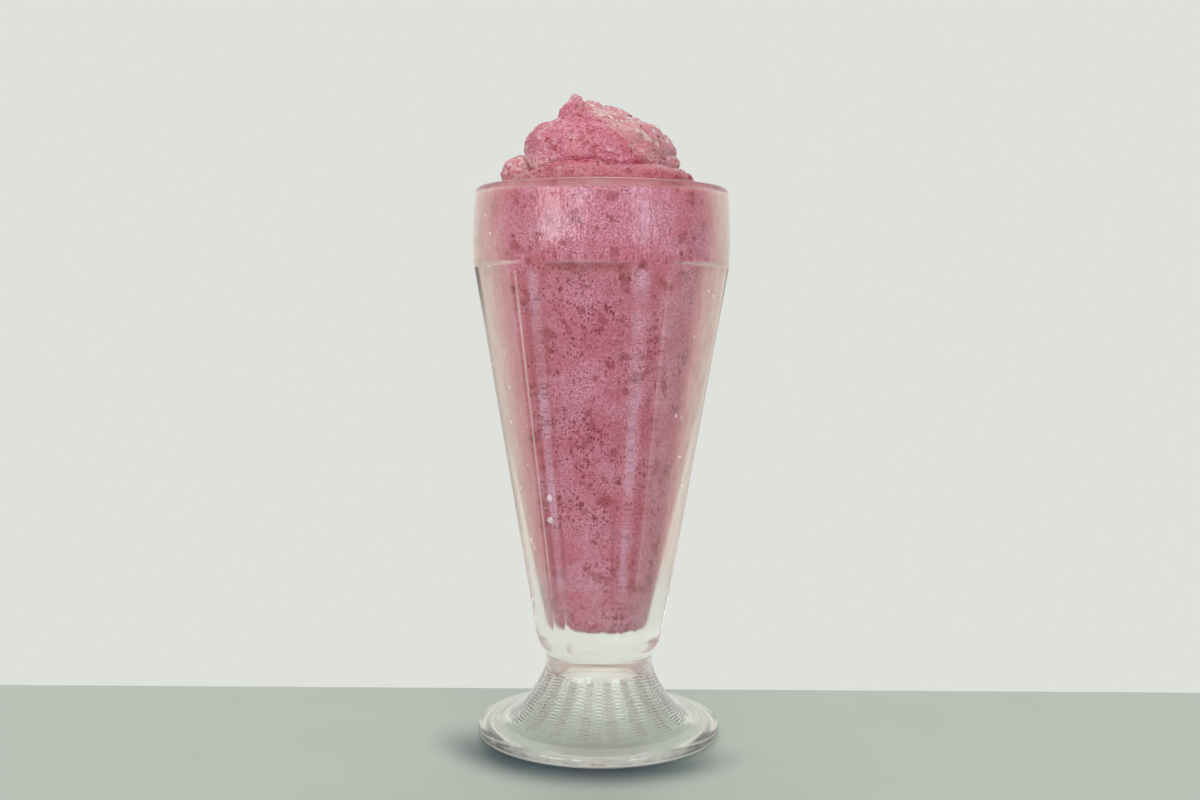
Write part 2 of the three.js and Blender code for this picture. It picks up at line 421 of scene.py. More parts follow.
# %% [markdown]
# ## Painted light and shade on the bowl
# Seen at a slant, the thick wall spreads the colour of the drink out to the sides, pink beside the
# front panel and cream at the edges. It also draws strips of light and shade along the ribs, pale
# lines on the ribs and the ledge and a thin dark line at either edge, and the step of the band throws a
# narrow shade. Tracing all of that through rough glass would take far more samples. So this light and
# shade is painted, as a thin matt film mixed over the glass that also holds a faint haze of fog. Masks
# of angle and height say where it lies and in which colour. Only the dark line needs the slant itself,
# which a Layer Weight node gives.

# %% A film over glass


def finish_glass(place, shader, film_colour, film, shadow):
    """Lays a matt film over clear glass and lets some light through its shadow."""
    film_shader = place.node("ShaderNodeBsdfPrincipled", {}, {
        "Base Color": film_colour, "Roughness": 0.9, "Specular IOR Level": 0.0})
    clear = Wire(place.tree, shader.outputs[0])
    filmed = place.node("ShaderNodeMixShader", {}, {0: film, 1: clear, 2: film_shader})
    is_shadow = place.node("ShaderNodeLightPath", {}, {}, "Is Shadow Ray")
    lit = place.node("ShaderNodeBsdfTransparent", {}, {"Color": (shadow, shadow, shadow, 1)})
    whole = place.node("ShaderNodeMixShader", {}, {0: is_shadow, 1: filmed, 2: lit})
    place.tree.links.new(whole.socket, place.tree.nodes["Material Output"].inputs["Surface"])


def band_at(value, middle, half):
    """1 at the middle, near a half at its half width, and 0 further out."""
    return 1 - abs(value - middle).between(0.3 * half, 1.6 * half)


def bands_at(value, places):
    """The sum of several bands, each with its middle and its half width."""
    first, *others = [band_at(value, middle, half) for middle, half in places]
    return sum(others, first)


print("film helpers ready")

# %% Where the film lies
# Bands across the glass are in degrees, other angles in radians and heights in millimetres.
# Painted highlights of lamp light on the ribs, and painted shades beside them.
RIB_HIGHLIGHTS = [(-30.8, 2.7), (17.3, 3.1)]
RIB_SHADES = [(-35.1, 1.8), (-26.6, 1.6), (9.4, 1.6), (24.5, 3.0)]
LEFT_HIGHLIGHT_LINE, RIGHT_HIGHLIGHT_LINE = (-39.8, 0.8), (30.0, 1.0)
CORNER_HIGHLIGHTS = [(23.5, 2.6), (36.2, 2.6)]
LEDGE_HIGHLIGHT = (160.3, 0.6)
STEP_FROM, STEP_TO = (154, 159.4), (159.8, 160.3)
STEP_LEFT, STEP_RIGHT = (-0.5, -0.4), (0.2, 0.3)
FILLED_ABOVE = (42, 66)
EDGE_FROM, EDGE_TO = (50, 80), (159.4, 160.2)
EDGE_DARKER = (136, 158)
degrees = side * (180 / math.pi)
from_panel = (side - PANEL_TURN) * (180 / math.pi)
in_panel = from_panel.maths("FLOORED_MODULO", from_panel, 360 / PANELS)
uneven = 0.5 + 0.5 * speckle(place.scaled((1, 1, 0.25)), 6, 11.0).between(0.3, 0.6)
# Painted highlights on the rib corners and in strips along the ribs.
corners = bands_at(in_panel, CORNER_HIGHLIGHTS) * off_front.between(0.8, 1.0)
highlight_strips = bands_at(degrees, RIB_HIGHLIGHTS)
rib_highlights = (corners + highlight_strips) * on_panels * uneven
# Painted shades beside the ribs.
shades = bands_at(degrees, RIB_SHADES) * on_panels
# Painted highlight lines on the rib edges and on the ledge.
rib_line_highlights = band_at(degrees, *LEFT_HIGHLIGHT_LINE) + 0.6 * band_at(degrees, *RIGHT_HIGHLIGHT_LINE)
bright = rib_line_highlights * on_panels + band_at(height, *LEDGE_HIGHLIGHT) * off_front.between(0.55, 0.7)
# Painted shade just under the step of the band, on the front panel.
in_front = side.between(*STEP_LEFT) * (1 - side.between(*STEP_RIGHT))
step = height.between(*STEP_FROM) * (1 - height.between(*STEP_TO)) * in_front
streaks = speckle(place.scaled((1, 1, 0.3)), 2.2, 19.0, 3.0, 0.6) - 0.5
filled = height.between(*FILLED_ABOVE)
# Painted refraction at the slant, pink beside the front panel and cream towards the edges, over some fog
# haze.
more_right = side.maths("SINE", 2 * side, 0)
edge_haze_and_light = (off_front - 0.08 * more_right).between(0.7, 1.0) * (0.45 + 0.1 * more_right) * filled
edge_haze_and_light = edge_haze_and_light * (1 + 0.6 * streaks) * (1 - 0.4 * on_band)
# Painted shade: a thin dark line at either edge, where one looks along the wall.
slant = place.node("ShaderNodeLayerWeight", {}, {"Blend": 0.5}, "Facing")
at_edge = (off_front + 0.15 * more_right).between(1.38, 1.46) * slant.between(0.6, 0.72)
outline = at_edge * height.between(*EDGE_FROM) * (1 - height.between(*EDGE_TO))
outline = outline * (0.4 + 0.6 * height.between(*EDGE_DARKER))
print("masks for", len(RIB_HIGHLIGHTS), "strips and", len(RIB_SHADES), "shades")

# %% Colours of the film
# Pink and cream of the painted refraction at the sides of the bowl.
GLANCING_CREAM = (1.0, 0.84, 0.74, 1)
REFRACTED_PINK = (0.82, 0.37, 0.38, 1)
FILM_CLEAR = (0.88, 0.89, 0.8, 1)
# Lilac and beige of the painted highlights on the ribs and the ledge.
HIGHLIGHT_LILAC = (0.82, 0.70, 0.88, 1)
HIGHLIGHT_BEIGE = (1.0, 0.84, 0.76, 1)
# Brown of the painted shades beside the ribs and under the step.
PAINTED_SHADE_BROWN = (0.34, 0.1, 0.1, 1)
# Grey of the painted dark line at the edges.
EDGE_SHADE_GREY = (0.07, 0.065, 0.06, 1)
film_colour = (off_front + 0.4 * streaks + 0.15 * on_band).between(0.78, 1.38).mix(REFRACTED_PINK, GLANCING_CREAM)
film_colour = filled.mix(FILM_CLEAR, film_colour)
film_colour = rib_highlights.mix(film_colour, highlight_strips.mix(HIGHLIGHT_BEIGE, HIGHLIGHT_LILAC))
film_colour = (step + shades).mix(film_colour, PAINTED_SHADE_BROWN)
film_colour = bright.mix(film_colour, HIGHLIGHT_BEIGE)
film_colour = (0.8 * outline).mix(film_colour, EDGE_SHADE_GREY)
film = fog * (0.03 + 0.07 * patches) + edge_haze_and_light + 0.17 * rib_highlights + 0.5 * step
film = film + 0.2 * shades + 0.22 * bright + 0.3 * outline
finish_glass(place, bowl_shader, film_colour, film, 0.85)
glass.data.materials.append(bowl_look)
print("dewy glass with its film has", len(bowl_look.node_tree.nodes), "nodes")

# %% [markdown]
# ## The clear foot and its ring
# The foot and the lip are not fogged, so they have a clear glass of their own. It is a little milky in
# the grooves and pale at the neck, where the pink of the drink shines through only softly. The ring
# that the glass stands on is scuffed, and bright arcs of light on its edges are painted in the same
# white film. These could be three objects, but one mesh can carry several materials, so its faces
# are sorted by their height.

# %% Glass of the foot and the lip
MILKY_GREY = (0.5, 0.52, 0.47, 1)
NECK_PALE = (0.98, 0.93, 0.82, 1)
NECK = (26, 3.2)
DULL_FROM = (21, 26)
foot_look, foot_shader, place = new_material("clear_glass")
height = place.part(2)
neck = band_at(height, *NECK)
feed(foot_shader, "Roughness", 0.04 + 0.12 * height.between(*DULL_FROM))
set_sockets(foot_shader, GLASS)
foot_film = 0.2 * place.painted("groove") + 0.25 * neck
finish_glass(place, foot_shader, neck.mix(MILKY_GREY, NECK_PALE), foot_film, 0.75)
glass.data.materials.append(foot_look)
print("clear glass has", len(foot_look.node_tree.nodes), "nodes")

# %% Ring under the foot
SCUFF_AND_ARC_WHITE = (1.0, 0.97, 0.9, 1)
WIDE_ARC, THIN_ARC = (38.6, 0.6), (36.2, 0.4)
EDGE_ARC_BEYOND = (39.4, 40.2)
ring_look, ring_shader, place = new_material("ground_ring")
scuffs = speckle(place, 2.5, 12.0)
from_axis = place.from_axis()
# Painted highlights: bright arcs on the ring and its outer edge, in the same white film as the scuffs.
highlight_arcs = band_at(from_axis, *WIDE_ARC) + 0.6 * band_at(from_axis, *THIN_ARC)
highlight_arcs = highlight_arcs + from_axis.between(*EDGE_ARC_BEYOND)
feed(ring_shader, "Roughness", 0.05 + 0.14 * scuffs)
set_sockets(ring_shader, GLASS)
finish_glass(place, ring_shader, SCUFF_AND_ARC_WHITE, 0.06 + 0.08 * scuffs + 0.6 * highlight_arcs, 0.4)
glass.data.materials.append(ring_look)
print("ground ring has", len(ring_look.node_tree.nodes), "nodes")

# %% Sort the faces by height
FOOT_ENDS, LIP_STARTS, RING_ENDS = 30.0, 183.8, 1.6
centres = np.empty(len(glass.data.polygons) * 3)
glass.data.polygons.foreach_get("center", centres)
face_heights = centres[2::3] / MM
is_clear = (face_heights < FOOT_ENDS) | (face_heights > LIP_STARTS)
is_ring = face_heights < RING_ENDS
glass.data.polygons.foreach_set("material_index", is_clear + is_ring.astype(np.int32))
print("clear faces", int(is_clear.sum()), "of which on the ring", int(is_ring.sum()))

# %% [markdown]
# ## The heap of smoothie
# Frozen smoothie is piled on until it stands above the rim. Each scoop keeps some of its own
# form, so the heap is a union of rounded lumps. A Metaball would do it too, but its surface is coarse
# and can't be steered. Here a distance is worked out for each lump, and the lumps are joined softly,
# the low ones most of all. The skin is then found along rays from a point inside, which gives a clean
# grid to roughen afterwards.

# %% Scoops: middle, half widths, and how boxy each is
SCOOPS = [
    ("lower layer", (-0.5, 1, 186.4), (31.7, 32.2, 7.4), 2.2),
    ("left lobe", (-24.2, 2, 190.2), (9.6, 14, 7.2), 2.2),
    ("right lobe", (20, 2, 188), (9.6, 14, 6), 2.2),
    ("front roll", (-6, -19, 187.6), (15, 12, 5.2), 2.2),
    ("front roll, right", (14, -17, 187.2), (13, 12, 4.8), 2.2),
    ("main scoop", (-2, 2, 194.8), (23.6, 23.5, 13.4), 3.6),
    ("left slope", (-7, 3, 200), (18, 16, 11.2), 2),
    ("crown", (0, 4, 202.5), (15, 14, 11.6), 2),
    ("right slope", (9, 3, 198), (16, 16, 9), 2),
    ("right shoulder", (13, 1, 193.2), (13.2, 15.5, 7.4), 2.2),
    ("top step", (9, 4, 206), (5.2, 6, 5.2), 2.4),
    ("peak", (-9.6, 3, 210.6), (5.4, 5.5, 8), 1.5),
    ("tail of the peak", (-5, 3, 210), (9, 5.4, 6), 1.6),
    ("back roll", (4, 15, 193), (18, 14, 11), 2),
    ("back step", (-10, 16, 198), (12, 9, 7), 2.2),
]
WALL_MEETS = 183.4
HEAP_MIDDLE = np.array([0, 0, 177.0])
LOWER_SCOOPS = 5
LOWER_BLEND = 3.6
BLEND = 2.4
LONGEST_RAY = 50.0
RAY_STEPS = 34


def to_scoop(points, middle, half, boxy):
    """About how far points are from the skin of a lump, less than nothing inside it."""
    p = np.abs(points - np.array(middle)) / np.array(half) + 1e-9
    near = (p**boxy).sum(-1) ** (1 / boxy)
    slope = (p / near[..., None]) ** (boxy - 1) / np.array(half)
    return (near - 1) / np.linalg.norm(slope, axis=-1)


def to_heap(points):
    """How far points are from the skin of the heap, and 1 where two scoops meet."""
    distance = points[..., 2] - WALL_MEETS
    crease = np.zeros(distance.shape)
    for number, (_, middle, half, boxy) in enumerate(SCOOPS):
        lump = to_scoop(points, middle, half, boxy)
        blend = LOWER_BLEND if number < LOWER_SCOOPS else BLEND
        share = np.maximum(blend - np.abs(distance - lump), 0) / blend
        if number >= LOWER_SCOOPS:
            crease = np.where(lump < distance, share, np.maximum(crease, share))
        distance = np.minimum(distance, lump) - share * share * blend * 0.25
    return distance, crease


def heap_skin(angle, rise):
    """Where rays from the middle of the heap come out of it, the rays, and its creases."""
    ray = np.stack([np.cos(rise) * np.sin(angle), -np.cos(rise) * np.cos(angle), np.sin(rise)], -1)
    reach = np.full(angle.shape, LONGEST_RAY)
    for _ in range(RAY_STEPS):
        distance, crease = to_heap(HEAP_MIDDLE + ray * reach[..., None])
        reach -= 0.7 * distance
    return HEAP_MIDDLE + ray * reach[..., None], ray, crease


print("heap of", len(SCOOPS), "scoops")

# %% [markdown]
# ## Foam, crumbs of ice and stretched flanks
# Blended fruit holds air and ice, so its skin is pitted and grainy. On the right flank the mass was
# pulled while it set, and is drawn out into threads that run down the slope. Where two scoops meet
# there is a crease, and at the bottom of the glass the mass has settled unevenly. A Displace modifier
# could push the skin about, by one texture at a time. Here the relief of the heap is added along its
# rays in several sizes of noise, the finest left to the material.

# %% Heap relief
HEAP_STEPS = 440
HEAP_ROWS = 170
WALL_ROWS = 36
SINK = 0.15
SETTLE_DEPTH, SETTLE_HEIGHT = 1.1, 7
PULL_DOWN, PULL_ACROSS = (0.78, 0, -0.62), (0.62, 0, 0.78)


def cavity_radius(height):
    """The radius of the inside of the glass at a height."""
    order = np.argsort(CAVITY[:, 1])
    return np.interp(height, CAVITY[order, 1], CAVITY[order, 0])


def pulled_flank(points):
    """1 on the right flank, where the drink is drawn into threads, 0 elsewhere."""
    lean = points[..., 0] - 0.9 * (214 - points[..., 2]) + 8 + 2.5 * grain(points, 7, 9)
    return ease(lean / 5) * ease((points[..., 2] - 189) / 4)


def strands(points):
    """Coordinates in which the pulled threads of the right flank lie along the first axis."""
    along = points @ np.array(PULL_DOWN)
    across = points @ np.array(PULL_ACROSS)
    return np.stack([0.1 * along, across, 0.7 * points[..., 1]], -1)


def heap_relief(points, flank, crease):
    """How far the skin stands out at each point: foam, pits, threads and creases."""
    foam = 1.1 * grain(points, 8, 2) + 0.6 * grain(points, 3.4, 3) + 0.4 * grain(points, 1.4, 4)
    pits = -0.35 * ease((np.abs(grain(points, 1.9, 5)) - 0.32) / 0.2) + 0.22 * grain(points, 0.8, 8)
    threads = strands(points)
    ridges = 0.45 * (1 - 2.4 * np.abs(grain(threads, 1.6, 6))) + 0.25 * grain(threads, 0.7, 7)
    return (foam + pits) * (1 - 0.4 * flank) + ridges * flank - 1.2 * ease(2 * crease - 1)


print("relief on", HEAP_ROWS, "rows of", HEAP_STEPS, "points")

# %% Make the smoothie
drink_angles = np.linspace(0, 2 * math.pi, HEAP_STEPS, endpoint=False)
wall_heights = np.linspace(CAVITY_FLOOR + 3.5, WALL_MEETS - 1, WALL_ROWS)
floor_rows = CAVITY_END[::-1][:-1]
wall_rows = np.stack([cavity_radius(wall_heights), wall_heights], -1)
below = np.vstack([floor_rows, wall_rows])
below_points = around(below[:, :1] + SINK, drink_angles[None], below[:, 1:])
settled = np.maximum(0, grain(below_points, 2.4, 10) + 0.6 * grain(below_points, 1.0, 11))
near_floor = 1 - ease((below_points[..., 2] - CAVITY_FLOOR) / SETTLE_HEIGHT)
below_points[..., 2] -= SETTLE_DEPTH * settled * near_floor

mouth_radius = cavity_radius(WALL_MEETS)
lowest = math.atan2(WALL_MEETS - HEAP_MIDDLE[2], mouth_radius)
rises = np.linspace(lowest + 0.01, math.pi / 2 - 0.01, HEAP_ROWS)
angle_grid, rise_grid = np.meshgrid(drink_angles, rises)
heap_points, heap_rays, crease = heap_skin(angle_grid, rise_grid)
flank = pulled_flank(heap_points)
relief = heap_relief(heap_points, flank, crease) * ease((rise_grid - lowest) / 0.16)
heap_points = heap_points + heap_rays * relief[..., None]
beyond = np.hypot(heap_points[..., 0], heap_points[..., 1]) > mouth_radius + SINK
print("heap points past the wall:", int(beyond.sum()))
ring = around(np.full((1, 1), mouth_radius + SINK), drink_angles[None], np.full((1, 1), WALL_MEETS))
smoothie_rows = np.concatenate([below_points, ring, heap_points])
smoothie = turned_object("smoothie_drink", smoothie_rows, (0, 0, CAVITY_FLOOR - SINK),
                         heap_points[-1].mean(0))
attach(smoothie, "root")
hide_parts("smoothie")

# %% [markdown]
# ## The look of blended strawberries
# Close up the drink is a pink foam, with soft red stains where a piece of fruit lies under the surface
# and dark bits of skin and seed. A picture of foam would repeat and blur, so it is all worked out.
# Noise and a fine Voronoi texture make the foam. Voronoi cells of three sizes hold one bit of fruit
# each, made ragged by pushing the places about, and clouds of noise make the stains. Pressed against
# the wall the drink is more lilac than in the open, and it is painted lighter there, to make up for
# the light that the glass keeps from it. In the open the lower layer is browner and painted darker for
# the shade under the scoops, and the creases are painted dark red for their shade. The pulled flank is
# paler, because drawn-out ice scatters more light. Its mask and that of the creases are colour
# attributes, painted from the same rules that shaped them.

# %% Paint the pulled flank and the creases
first_heap_row = len(below_points) + 1
paint_rows(smoothie, "pulled", flank, first_heap_row, len(smoothie_rows))
paint_rows(smoothie, "crease", crease, first_heap_row, len(smoothie_rows))
print("points on the pulled flank", int((flank > 0.5).sum()), "and in creases", int((crease > 0.5).sum()))

# %% Bits of fruit
OPEN_ABOVE = (182.5, 184.5)
FEWER_BITS_ABOVE = (158, 164)
smoothie_look, smoothie_shader, place = new_material("strawberry_foam")


def warped(place, size, amount, seed):
    """Places pushed about by noise, so that what is laid out on them gets ragged edges."""
    push = place.node("ShaderNodeTexNoise", {"noise_dimensions": "4D"}, {
        "Vector": place, "W": seed, "Scale": 1 / size, "Detail": 2.0}, "Color")
    return place.node("ShaderNodeVectorMath", {"operation": "MULTIPLY_ADD"}, {
        0: push, 1: (amount, amount, amount), 2: place})


def bits(place, spacing, largest, amount):
    """Bits of uneven size, one in each cell of a Voronoi texture, none where amount is 0."""
    cells = {"feature": "F1"}, {"Vector": place, "Scale": 1 / spacing}
    distance = place.node("ShaderNodeTexVoronoi", *cells, "Distance")
    chance = place.node("ShaderNodeTexVoronoi", *cells, "Color").part(0)
    return (largest * chance * amount - distance).between(-0.02, 0.07)


height = place.part(2)
free = height.between(*OPEN_ABOVE)
in_band = height.between(*FEWER_BITS_ABOVE)
fewer = 1 - 0.3 * in_band * (1 - free)
froth = speckle(place, 0.5, 4.0, 1.0, 0.6)
gather = speckle(place, 14, 8.0, 2.0).between(0.38, 0.6) * (1 - 0.4 * in_band)
fine_bits = bits(warped(place, 0.6, 0.7, 15.0), 1.1, 0.56, (0.55 + 0.45 * gather) * fewer)
dark_bits = bits(warped(place, 0.6, 0.6, 20.0), 1.8, 0.3, (0.4 + 0.6 * gather) * fewer)
large_bits = bits(warped(place, 1.3, 1.8, 9.0), 3.6, 0.38, 0.4 + 0.6 * gather)
stains = (speckle(place, 4.0, 5.0, 3.0, 0.6) + 0.06 * gather).between(0.57, 0.66)
print("four kinds of fruit bits")

# %% Colours of the smoothie
PINK = colour(212, 122, 140)
LILAC = colour(220, 148, 164)
ROSE = colour(182, 84, 102)
# Browner rose of the lower layer, also darkened as painted shade under the scoops.
LOWER_TONE_AND_SHADE_ROSE = colour(194, 116, 124)
# Behind the glass the drink is more lilac, and painted lighter to make up for the light that the glass
# keeps off.
PRESSED_LIT_PINK = colour(222, 130, 152)
PRESSED_LIT_LILAC = colour(232, 164, 188)
PRESSED_ROSE = colour(184, 82, 104)
# Red of the fruit stains, also used for the painted shade in the creases.
STAIN_AND_CREASE_SHADE_RED = colour(158, 44, 60)
SHADED_ROSE = colour(164, 78, 86)
SPECK_RED = colour(142, 26, 48)
BIT_RED = colour(126, 8, 28)
PULLED_PALE = colour(248, 222, 216)
print("mean pink", [round(v, 3) for v in PINK[:3]])

# %% Masks of the smoothie
BUBBLE_SIZE = 0.8
LOWER_LAYER_TOP = (190.5, 194.5)
LEFT_LOBE_EDGE, LEFT_LOBE_TOP = (-22, -16), (193, 199)
# The lower layer, painted darker in the open for the shade under the scoops.
lower = 1 - (height + 3 * speckle(place, 5, 10.0)).between(*LOWER_LAYER_TOP)
clouds = speckle(place, 10, 3.0, 3.0).between(0.38, 0.62)
bubbles = place.node("ShaderNodeTexVoronoi", {"feature": "F1"}, {
    "Vector": place, "Scale": 1 / BUBBLE_SIZE}, "Distance")
pulled = place.painted("pulled")
broken = 0.3 + 0.7 * speckle(place, 6, 22.0).between(0.4, 0.58)
# Painted shade in the creases where scoops meet, broken up by noise.
crease_shade = place.painted("crease").between(0.7, 1.0) * broken
strand = place.node("ShaderNodeCombineXYZ", {}, {
    0: 0.12 * place.toward(PULL_DOWN), 1: place.toward(PULL_ACROSS), 2: 0.7 * place.part(1)})
threads = band_at(speckle(strand, 1.0, 6.0, 1.5, 0.5), 0.5, 0.026)
on_left = (1 - place.part(0).between(*LEFT_LOBE_EDGE)) * (1 - height.between(*LEFT_LOBE_TOP))
icy = speckle(place, 9, 16.0).between(0.52, 0.64) + on_left
frost = icy * speckle(place, 1.3, 17.0, 3.0, 0.6).between(0.35, 0.65) * free
print("masks of foam, flank, creases and frost")

# %% Smoothie material
pink = free.mix(PRESSED_LIT_PINK, lower.mix(PINK, LOWER_TONE_AND_SHADE_ROSE))
body = clouds.mix(pink, free.mix(PRESSED_LIT_LILAC, LILAC))
grainy = 0.75 * (froth + 0.25 * bubbles).between(0.48, 0.76)
body = grainy.mix(body, free.mix(PRESSED_ROSE, ROSE))
body = (0.65 * stains).mix(body, STAIN_AND_CREASE_SHADE_RED)
body = (fine_bits * (0.9 - 0.45 * free)).mix(body, SPECK_RED)
body = (dark_bits * (0.9 - 0.5 * free)).mix(body, BIT_RED)
body = (large_bits * (0.8 - 0.2 * free)).mix(body, BIT_RED)
body = (0.5 * frost).mix(body, PULLED_PALE)
body = (0.4 * lower * free).mix(body, SHADED_ROSE)
body = (0.8 * crease_shade).mix(body, STAIN_AND_CREASE_SHADE_RED)
body = (pulled * (0.14 + 0.8 * threads)).mix(body, PULLED_PALE)
feed(smoothie_shader, "Base Color", body)
feed(smoothie_shader, "Roughness", 0.22 + 0.3 * froth)
skin = froth - 0.5 * bubbles + 0.6 * pulled * threads
crumb = place.node("ShaderNodeBump", {}, {"Strength": 1.0, "Distance": 0.0006, "Height": skin})
feed(smoothie_shader, "Normal", crumb)
set_sockets(smoothie_shader, {"Subsurface Weight": 0.15, "Subsurface Radius": (1.0, 0.35, 0.3),
                              "Subsurface Scale": 0.002, "IOR": 1.36})
smoothie.data.materials.append(smoothie_look)
print("smoothie material has", len(smoothie_look.node_tree.nodes), "nodes")

# %% [markdown]
# ## Drops of dew and seeds
# Cold glass gathers drops. They are small domes of water all round but on the wiped front panel, with a
# pale matt film that paints their glints of light, and a few have begun to run. Strawberry seeds lie on
# the heap like flattened grains. Instances on points would lay them out too. Here both are many copies
# of one small round form, so one function joins them into a single mesh. Each copy gets a frame of its
# own: across, along and out of the surface that it lies on.

# %% Many small grains as one mesh
DROP_SIDES = 10
DROP_RINGS = 4


def grains(name, middles, outs, widths, lengths, heights):
    """Joined small domes, each with its middle, the way out of its surface and its half sizes in mm."""
    rise = np.linspace(-0.25, 0.5, DROP_RINGS) * math.pi
    turn = np.linspace(0, 2 * math.pi, DROP_SIDES, endpoint=False)
    dome = np.stack(np.broadcast_arrays(
        np.cos(rise)[:, None] * np.cos(turn),
        np.cos(rise)[:, None] * np.sin(turn),
        np.sin(rise)[:, None]), -1)
    across = np.cross(outs, (0.0, 0.0, 1.0))
    across /= np.linalg.norm(across, axis=-1, keepdims=True)
    along = np.cross(outs, across)
    points = middles[:, None, None]
    for axis, (direction, size) in enumerate([(across, widths), (along, lengths), (outs, heights)]):
        points = points + dome[None, ..., axis, None] * (direction * size[:, None])[:, None, None]
    index = np.arange(len(middles) * DROP_RINGS * DROP_SIDES).reshape(len(middles), DROP_RINGS, DROP_SIDES)
    low = index[:, :-1]
    high = index[:, 1:]
    faces = np.stack([low, np.roll(low, -1, 2), np.roll(high, -1, 2), high], -1).reshape(-1, 4)
    mesh = bpy.data.meshes.new(name)
    mesh.from_pydata((points.reshape(-1, 3) * MM).tolist(), [], faces.tolist() + index[:, 0, ::-1].tolist())
    mesh.shade_smooth()
    made = bpy.data.objects.new(name, mesh)
    bpy.context.scene.collection.objects.link(made)
    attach(made, "root")
    print(name, len(middles), "grains,", len(mesh.polygons), "faces")
    return made


# %% Dew drops
DROPS = 170
FIRST_DROP, LAST_DROP = 0.55, 2 * math.pi - 0.75
LOWEST_DROP, DROPS_SPAN = 40, 138
SMALLEST_DROP, DROPS_GROW = 0.22, 0.6
SMALL_TURN, SMALL_RISE = 0.002, 0.1
DROP_GLINT_WHITE = (1, 0.98, 0.95, 1)
LARGE_DROPS = [
    (-0.57, 84.4, 1.1), (-0.59, 77.0, 1.2), (1.05, 97.0, 0.7), (-1.2, 108.0, 0.6), (1.2, 150.0, 0.7)]
chooser = np.random.default_rng(4)


def outer_wall(angles, heights):
    """Points on the outside of the bowl."""
    radius = np.interp(heights, OUTSIDE[:, 1], OUTSIDE[:, 0])
    return around(radius * (1 - cut_share(heights) * panel_cut(angles)), angles, heights)


drop_angles = chooser.uniform(FIRST_DROP, LAST_DROP, DROPS)
drop_heights = LOWEST_DROP + DROPS_SPAN * chooser.uniform(0, 1, DROPS) ** 0.8
drop_sizes = SMALLEST_DROP + DROPS_GROW * chooser.uniform(0, 1, DROPS) ** 3
for number, (angle, high, size) in enumerate(LARGE_DROPS):
    drop_angles[number] = angle
    drop_heights[number] = high
    drop_sizes[number] = size
runs = 1 + 1.2 * chooser.uniform(0, 1, DROPS) ** 3
drop_places = outer_wall(drop_angles, drop_heights)
rightward = outer_wall(drop_angles + SMALL_TURN, drop_heights) - drop_places
upward = outer_wall(drop_angles, drop_heights + SMALL_RISE) - drop_places
drop_outs = np.cross(rightward, upward)
drop_outs /= np.linalg.norm(drop_outs, axis=-1, keepdims=True)
drops = grains("dew_drops", drop_places, drop_outs, drop_sizes, drop_sizes * runs, 0.65 * drop_sizes)
drops_look, drops_shader, place = new_material("dew_water")
feed(drops_shader, "Roughness", 0.01 + 0.03 * speckle(place, 3, 13.0))
set_sockets(drops_shader, {"Base Color": (1, 1, 1, 1), "IOR": 1.33, "Transmission Weight": 1.0})
# A pale matt film with painted glints on the drops.
finish_glass(place, drops_shader, DROP_GLINT_WHITE, 0.15 + 0.3 * speckle(place, 1.0, 21.0), 0.9)
drops.data.materials.append(drops_look)

# %% Seeds on the heap
SEEDS = 60
SMALLEST_SEED, LARGEST_SEED = 0.3, 0.5
SEED_DARK, SEED_BROWN = colour(128, 24, 36), colour(156, 60, 52)
seed_rows = np.searchsorted(np.sin(rises), chooser.uniform(math.sin(lowest + 0.12), 0.99, SEEDS))
seed_columns = chooser.integers(0, HEAP_STEPS, SEEDS)
seed_places = heap_points[seed_rows, seed_columns]
seed_outs = heap_rays[seed_rows, seed_columns]
seed_sizes = chooser.uniform(SMALLEST_SEED, LARGEST_SEED, SEEDS)
seeds = grains("seeds", seed_places, seed_outs, seed_sizes, 1.5 * seed_sizes, 0.6 * seed_sizes)
seeds_look, seeds_shader, place = new_material("seed_brown")
feed(seeds_shader, "Base Color", speckle(place, 4, 14.0).mix(SEED_DARK, SEED_BROWN))
seeds_shader.inputs["Roughness"].default_value = 0.35
seeds.data.materials.append(seeds_look)

# %% [markdown]
# ## Floor and light
# The glass stands near the back edge of a plain pale floor, and the world behind it has a bright pale
# colour. Photographers like a bright field behind glass and something darker at either side, which
# draws its edges, so the world is dimmer to the left and right. Black cards there would do the same.
# Three soft lamps stand low enough to show in the round band, a wide one lights the front and one more
# hangs behind. The thick rim of the foot keeps light off the floor in front of it, a soft dark edge
# that is painted.

# %% Floor
# The floor and the lamps are placed in metres.
FLOOR_BACK = 0.0507
FLOOR_WIDE, FLOOR_DEEP, FLOOR_THICK = 2.4, 1.6, 0.03
HAIRLINE = 0.0001
FLOOR_PALE, FLOOR_PALER = colour(166, 175, 165), colour(174, 183, 173)
FLOOR_SHADED = colour(58, 74, 82)
floor_middle = (0, FLOOR_BACK - FLOOR_DEEP / 2, -FLOOR_THICK / 2 - HAIRLINE)
bpy.ops.mesh.primitive_cube_add(size=1, location=floor_middle)
floor = bpy.context.object
floor.name = "pale_floor"
floor.scale = (FLOOR_WIDE, FLOOR_DEEP, FLOOR_THICK)
bpy.ops.object.transform_apply(location=True, scale=True)
floor_look, floor_shader, place = new_material("pale_floor")
mottle = speckle(place, 30, 7.0, 3.0)
from_axis = place.from_axis()
toward_front = -0.95 * place.part(1) - 0.25 * place.part(0)
past_rim = from_axis.between(FOOT_RADIUS - 6, FOOT_RADIUS - 1)
near_rim = 1 - from_axis.between(FOOT_RADIUS + 1, FOOT_RADIUS + 20)
shade = past_rim * near_rim * toward_front.between(0, 38)
plain = mottle.mix(FLOOR_PALE, FLOOR_PALER)
feed(floor_shader, "Base Color", shade.mix(plain, FLOOR_SHADED))
floor_shader.inputs["Roughness"].default_value = 0.35
floor.data.materials.append(floor_look)
print("middle of the floor", floor_middle)

